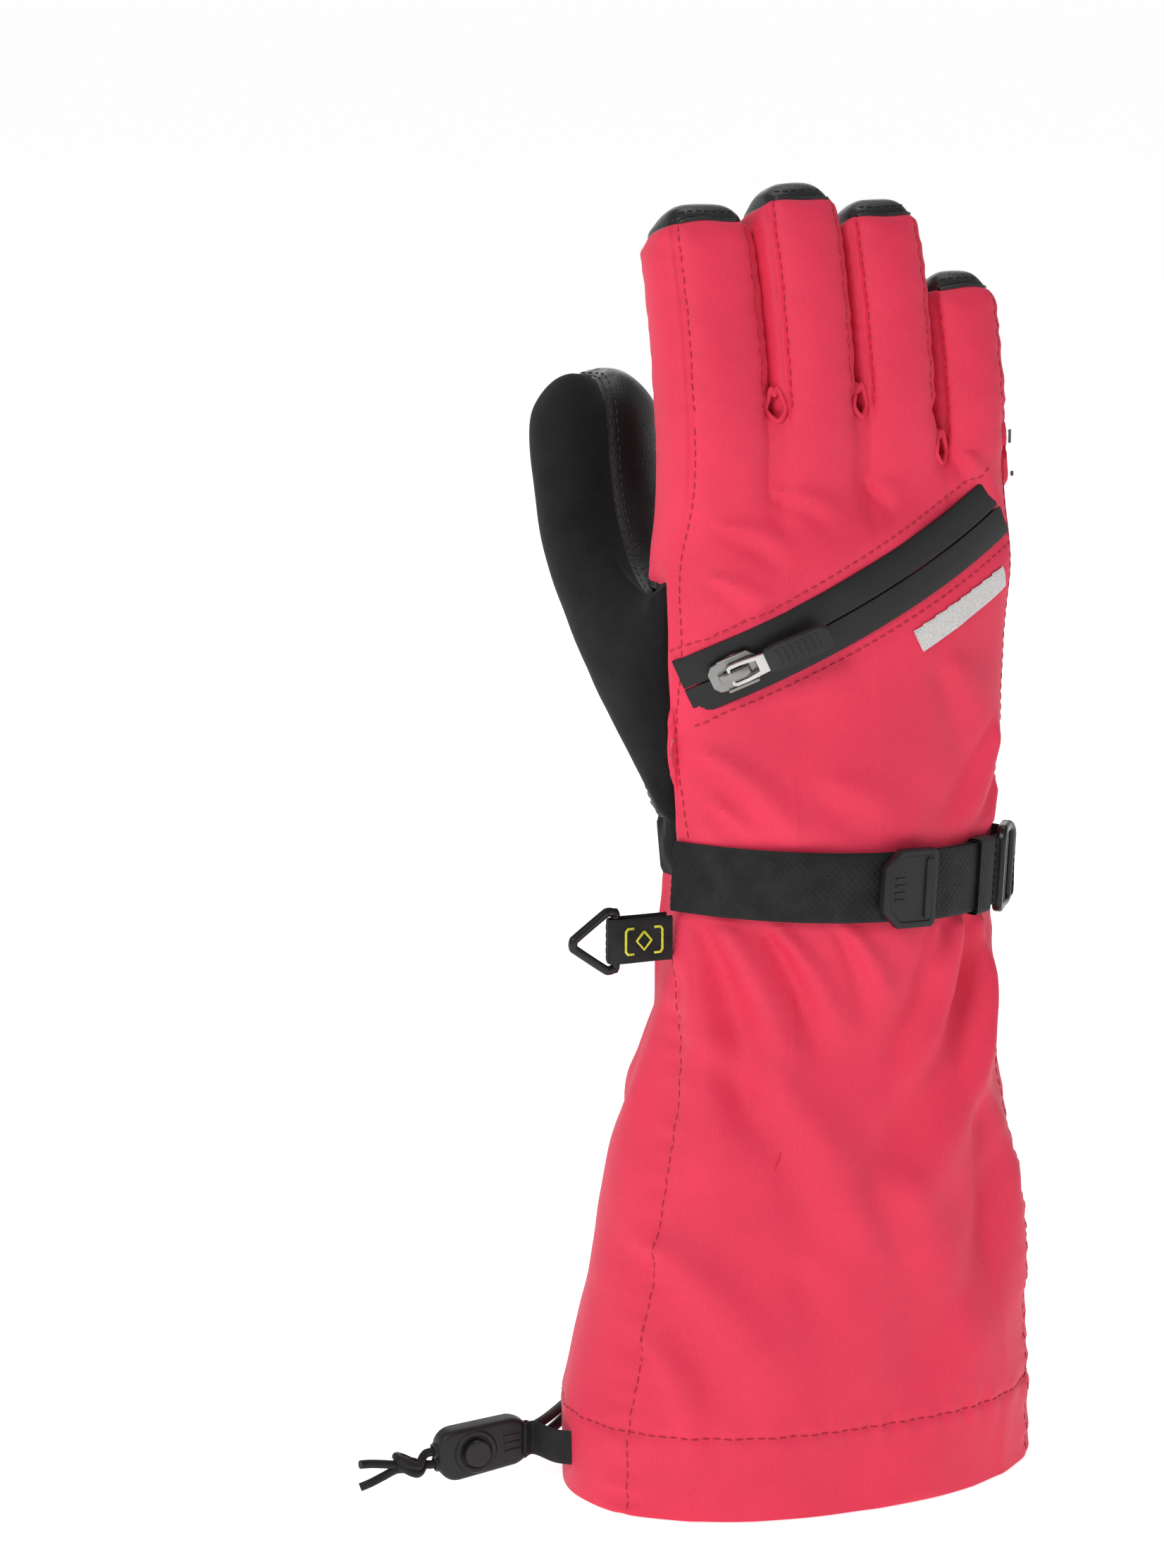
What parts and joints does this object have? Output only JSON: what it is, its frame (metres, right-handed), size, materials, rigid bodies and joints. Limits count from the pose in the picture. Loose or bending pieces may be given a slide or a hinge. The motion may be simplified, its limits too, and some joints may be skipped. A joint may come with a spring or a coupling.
{
  "type": "ski glove",
  "caption": "Right-hand insulated ski glove with a long gauntlet cuff, leather palm, zipped back pocket, wrist strap with ladder lock, leash ring and hem drawcord.",
  "frame": {"origin": "bottom centre of the glove, on the surface its hem stands on, the cord lock and its cord left out", "axes": "+Z from the hem to the fingertips, -Y out of the back of the hand, +X to the little-finger side"},
  "size_m": [0.1994, 0.1084, 0.363],
  "materials": {
    "softshell": "matte, fine woven softshell",
    "leather": "grained synthetic leather, satin",
    "suede": "brushed suede, matte",
    "lining": "soft knitted lining",
    "webbing": "ribbed polyester webbing",
    "tape": "matte coated zip tape",
    "plastic": "moulded, fine texture",
    "nickel": "polished nickel plating",
    "gunmetal": "dark nickel plating",
    "rubber": "matte textured grip",
    "label_thread": "light grey embroidery"
  },
  "bodies": {
    "hand": {"hand_back_panel": "softshell", "hand_index_side": "softshell", "hand_little_side": "softshell", "palm_leather": "leather", "thumb_base_suede": "suede", "thumb_base_leather": "leather", "hand_liner": "lining", "pocket_bag": "lining", "gauntlet_back": "softshell", "gauntlet_palm": "softshell", "gauntlet_lining": "lining", "wrist_elastic": "webbing", "hem_channel": "softshell", "hem_drawcord": "webbing", "eyelet": "gunmetal", "zip_tape_upper": "tape", "zip_tape_lower": "tape", "zip_coil": "plastic", "label_bar": "label_thread", "wrist_strap": "webbing", "lock_loop": "webbing", "leash_tab": "webbing", "cord_lock_tab": "webbing", "cord_lock_body": "plastic", "lock_spring": "nickel", "cord_strand_a": "webbing", "cord_strand_b": "webbing"},
    "index_finger": {"index_back": "softshell", "index_side_a": "softshell", "index_side_b": "softshell", "index_front": "leather", "index_liner": "lining"},
    "middle_finger": {"middle_back": "softshell", "middle_side_a": "softshell", "middle_side_b": "softshell", "middle_front": "leather", "middle_liner": "lining"},
    "ring_finger": {"ring_back": "softshell", "ring_side_a": "softshell", "ring_side_b": "softshell", "ring_front": "leather", "ring_liner": "lining"},
    "little_finger": {"little_back": "softshell", "little_side_a": "softshell", "little_side_b": "softshell", "little_front": "leather", "little_liner": "lining"},
    "thumb": {"thumb_suede": "suede", "thumb_leather": "leather", "thumb_liner": "lining"},
    "zip_slider": {"zip_slider": "nickel"},
    "zip_puller": {"zip_puller": "nickel", "puller_grip": "rubber"},
    "strap_tail": {"strap_tail": "webbing", "strap_tab": "plastic"},
    "strap_keeper": {"strap_keeper": "webbing"},
    "ladder_lock": {"ladder_lock": "plastic"},
    "leash_ring": {"leash_ring": "plastic"},
    "lock_button": {"lock_button": "plastic"},
    "drawcord_knot": {"drawcord_knot": "webbing"}
  },
  "joints": [
    {"name": "index_finger_bend", "type": "hinge", "parent": "hand", "child": "index_finger", "pos_m": [-0.02949, -0.00366, 0.291], "axis": [-1, 0, 0], "range_deg": [0, 50]},
    {"name": "middle_finger_bend", "type": "hinge", "parent": "hand", "child": "middle_finger", "pos_m": [-0.00279, -0.00516, 0.291], "axis": [-1, 0, 0], "range_deg": [0, 50]},
    {"name": "ring_finger_bend", "type": "hinge", "parent": "hand", "child": "ring_finger", "pos_m": [0.02216, -0.00366, 0.291], "axis": [-1, 0, 0], "range_deg": [0, 50]},
    {"name": "little_finger_bend", "type": "hinge", "parent": "hand", "child": "little_finger", "pos_m": [0.04611, -0.00066, 0.287], "axis": [-1, 0, 0], "range_deg": [0, 50]},
    {"name": "thumb_bend", "type": "hinge", "parent": "hand", "child": "thumb", "pos_m": [-0.02519, 0.03986, 0.27464], "axis": [-0.3276, 0.8797, -0.3447], "range_deg": [0, 35]},
    {"name": "zip_slide", "type": "hinge", "parent": "hand", "child": "zip_slider", "pos_m": [0.00706, 0.06733, 0.254], "axis": [-0.4384, 0, 0.8988], "range_deg": [0, 44]},
    {"name": "puller_flip", "type": "hinge", "parent": "zip_slider", "child": "zip_puller", "pos_m": [-0.03036, -0.03503, 0.23575], "axis": [0.4384, 0, -0.8988], "range_deg": [0, 150]},
    {"name": "strap_pull", "type": "hinge", "parent": "hand", "child": "strap_tail", "pos_m": [0.00706, 0.01839, 0.176], "axis": [0.0523, 0, 0.9986], "range_deg": [-8, 0]},
    {"name": "keeper_slide", "type": "hinge", "parent": "hand", "child": "strap_keeper", "pos_m": [0.00706, 0.01839, 0.176], "axis": [0.0523, 0, 0.9986], "range_deg": [-9, 2]},
    {"name": "lock_lift", "type": "hinge", "parent": "hand", "child": "ladder_lock", "pos_m": [0.06062, -0.01798, 0.17319], "axis": [0.0523, 0, 0.9986], "range_deg": [0, 30]},
    {"name": "leash_swing", "type": "hinge", "parent": "hand", "child": "leash_ring", "pos_m": [-0.05836, -0.01885, 0.161], "axis": [0, 0, 1], "range_deg": [-60, 60]},
    {"name": "button_press", "type": "slide", "parent": "hand", "child": "lock_button", "axis": [0, 1, 0], "range_m": [0, 0.0015], "stiffness_N_per_m": 400},
    {"name": "drawcord_pull", "type": "slide", "parent": "hand", "child": "drawcord_knot", "axis": [-0.9945, 0, -0.1045], "range_m": [0, 0.012]}
  ]
}
